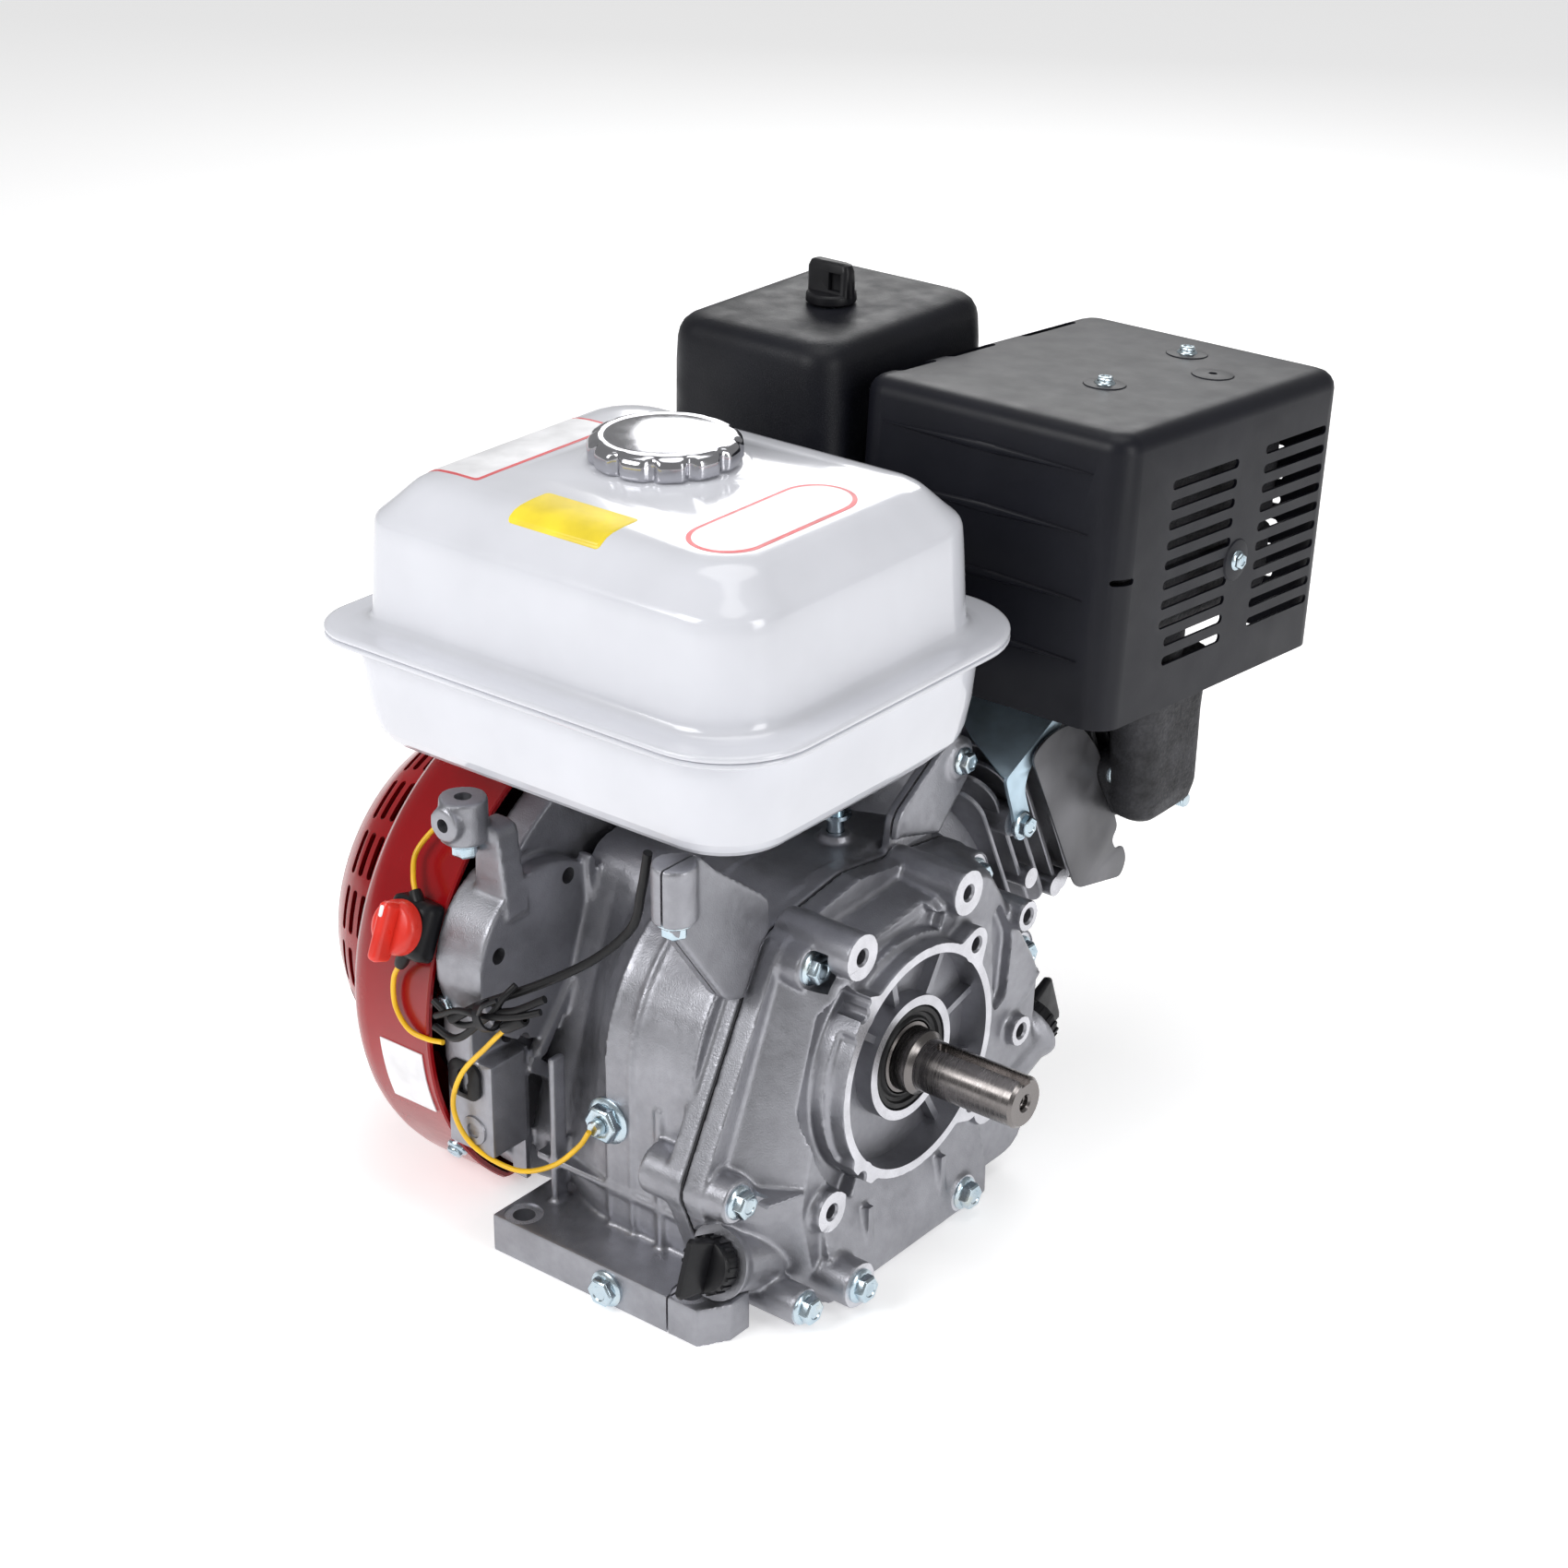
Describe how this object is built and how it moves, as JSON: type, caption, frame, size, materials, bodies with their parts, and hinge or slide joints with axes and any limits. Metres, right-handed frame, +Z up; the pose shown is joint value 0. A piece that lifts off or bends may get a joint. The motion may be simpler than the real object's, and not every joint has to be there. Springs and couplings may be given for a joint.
{
  "type": "small gasoline engine",
  "caption": "Small air-cooled four-stroke gasoline engine with white fuel tank, black air cleaner and muffler guard, red recoil starter and keyed shaft.",
  "frame": {"origin": "on the mounting base plane, under the crankshaft axis, midway along the feet in X", "axes": "+X along the output shaft, pointing out of the engine; +Y towards the cylinder head; +Z up"},
  "size_m": [0.3808, 0.4619, 0.421],
  "materials": {
    "cast_aluminium": "satin die casting",
    "dark_casting": "rough dark casting",
    "machined_steel": "ground",
    "cast_iron": "rough, heat darkened",
    "zinc": "bright bluish zinc plate",
    "white_paint": "gloss",
    "red_paint": "gloss deep red",
    "red_plastic": "semi-gloss",
    "black_paint": "satin",
    "black_plastic": "fine texture",
    "black_rubber": "matte",
    "chrome": "mirror",
    "gasket": "matte fibre",
    "foam": "open foam",
    "yellow_wire": "semi-gloss",
    "rope": "braided cord",
    "ceramic": "glazed white"
  },
  "bodies": {
    "engine": {"crankcase": "cast_aluminium", "crankcase_cover": "cast_aluminium", "valve_cover": "cast_aluminium", "carburetor": "cast_aluminium", "cylinder_head": "dark_casting", "side_plate": "dark_casting", "main_bearing_front": "machined_steel", "main_bearing_rear": "machined_steel", "cylinder_liner": "cast_iron", "exhaust_elbow": "cast_iron", "muffler_body": "cast_iron", "muffler_bracket": "zinc", "control_plate": "zinc", "drain_bolt": "zinc", "oil_level_sensor": "zinc", "fuel_tank_upper": "white_paint", "fuel_tank_lower": "white_paint", "fan_shroud": "red_paint", "recoil_housing": "red_paint", "muffler_guard": "black_paint", "cylinder_duct": "black_paint", "air_cleaner_cover": "black_plastic", "air_cleaner_base": "black_plastic", "ignition_coil": "black_plastic", "switch_body": "black_plastic", "oil_seal_front": "black_rubber", "oil_seal_rear": "black_rubber", "plug_cap": "black_rubber", "black_lead": "black_rubber", "ignition_lead": "black_rubber", "cover_gasket": "gasket", "head_gasket": "gasket", "intake_insulator": "gasket", "air_filter_element": "foam", "switch_wire": "yellow_wire", "earth_wire": "yellow_wire", "sensor_wire": "yellow_wire", "starter_rope": "rope", "spark_plug": "ceramic"},
    "crank_train": {"crankshaft": "machined_steel", "timing_gear": "machined_steel", "flywheel": "cast_iron", "cooling_fan": "black_plastic", "starter_cup": "machined_steel"},
    "cam_train": {"camshaft": "cast_iron"},
    "piston_group": {"piston": "cast_aluminium", "piston_pin": "machined_steel"},
    "intake_valve_body": {"intake_valve": "machined_steel"},
    "exhaust_valve_body": {"exhaust_valve": "machined_steel"},
    "fuel_cap_body": {"fuel_cap": "chrome"},
    "dipstick_body": {"dipstick": "black_plastic"},
    "oil_filler_cap_body": {"oil_filler_cap": "black_plastic"},
    "air_cleaner_knob_body": {"air_cleaner_knob": "black_plastic"},
    "switch_knob_body": {"switch_knob": "red_plastic"},
    "choke_lever_body": {"choke_lever": "black_plastic"},
    "fuel_valve_lever_body": {"fuel_valve_lever": "black_plastic"},
    "throttle_lever_body": {"throttle_lever": "zinc"},
    "governor_arm_body": {"governor_arm": "zinc"},
    "starter_grip_body": {"starter_grip": "black_plastic"},
    "recoil_reel_body": {"recoil_reel": "black_plastic"}
  },
  "joints": [
    {"name": "crank_spin", "type": "hinge", "parent": "engine", "child": "crank_train", "pos_m": [0, 0, 0.106], "axis": [1, 0, 0], "continuous": true},
    {"name": "cam_spin", "type": "hinge", "parent": "engine", "child": "cam_train", "pos_m": [0, 0.06018, 0.07889], "axis": [1, 0, 0], "continuous": true},
    {"name": "piston_stroke", "type": "slide", "parent": "engine", "child": "piston_group", "axis": [0, 0.9063, 0.4226], "range_m": [-0.058, 0]},
    {"name": "intake_valve_lift", "type": "slide", "parent": "engine", "child": "intake_valve_body", "axis": [0, -0.9063, -0.4226], "range_m": [0, 0.007], "stiffness_N_per_m": 6000},
    {"name": "exhaust_valve_lift", "type": "slide", "parent": "engine", "child": "exhaust_valve_body", "axis": [0, -0.9063, -0.4226], "range_m": [0, 0.007], "stiffness_N_per_m": 6000},
    {"name": "fuel_cap_turn", "type": "hinge", "parent": "engine", "child": "fuel_cap_body", "pos_m": [-0.05, -0.01, 0.38], "axis": [0, 0, 1], "range_deg": [0, 90]},
    {"name": "dipstick_turn", "type": "hinge", "parent": "engine", "child": "dipstick_body", "pos_m": [0.062, -0.111, 0.037], "axis": [0, -0.9397, 0.342], "range_deg": [0, 360]},
    {"name": "oil_filler_cap_turn", "type": "hinge", "parent": "engine", "child": "oil_filler_cap_body", "pos_m": [0.072, 0.124, 0.062], "axis": [0, 0.9397, 0.342], "range_deg": [0, 360]},
    {"name": "air_cleaner_knob_turn", "type": "hinge", "parent": "engine", "child": "air_cleaner_knob_body", "pos_m": [-0.091, 0.165, 0.405], "axis": [0, 0, 1], "range_deg": [0, 360]},
    {"name": "switch_turn", "type": "hinge", "parent": "engine", "child": "switch_knob_body", "pos_m": [-0.111, -0.12059, 0.15719], "axis": [0, -0.9205, 0.3907], "range_deg": [0, 60]},
    {"name": "choke_turn", "type": "hinge", "parent": "engine", "child": "choke_lever_body", "pos_m": [-0.086, 0.2133, 0.23], "axis": [0, 1, 0], "range_deg": [0, 75]},
    {"name": "fuel_valve_turn", "type": "hinge", "parent": "engine", "child": "fuel_valve_lever_body", "pos_m": [-0.1, 0.2133, 0.208], "axis": [0, -1, 0], "range_deg": [0, 45]},
    {"name": "throttle_turn", "type": "hinge", "parent": "engine", "child": "throttle_lever_body", "pos_m": [-0.068, 0.098, 0.23], "axis": [0, 0, 1], "range_deg": [-20, 20]},
    {"name": "governor_turn", "type": "hinge", "parent": "engine", "child": "governor_arm_body", "pos_m": [0.02, 0.03, 0.195], "axis": [0, 0, 1], "range_deg": [-15, 15]},
    {"name": "starter_pull", "type": "slide", "parent": "engine", "child": "starter_grip_body", "axis": [0, 0.6428, 0.766], "range_m": [0, 0.5], "stiffness_N_per_m": 20, "springref_m": -0.5},
    {"name": "reel_turn", "type": "hinge", "parent": "engine", "child": "recoil_reel_body", "pos_m": [-0.198, 0, 0.106], "axis": [1, 0, 0], "range_deg": [0, 800]}
  ],
  "couplings": [
    {"joint": "cam_spin", "follows": "crank_spin", "ratio": -0.5},
    {"joint": "reel_turn", "follows": "starter_pull", "rad_per_m": 27.7}
  ]
}
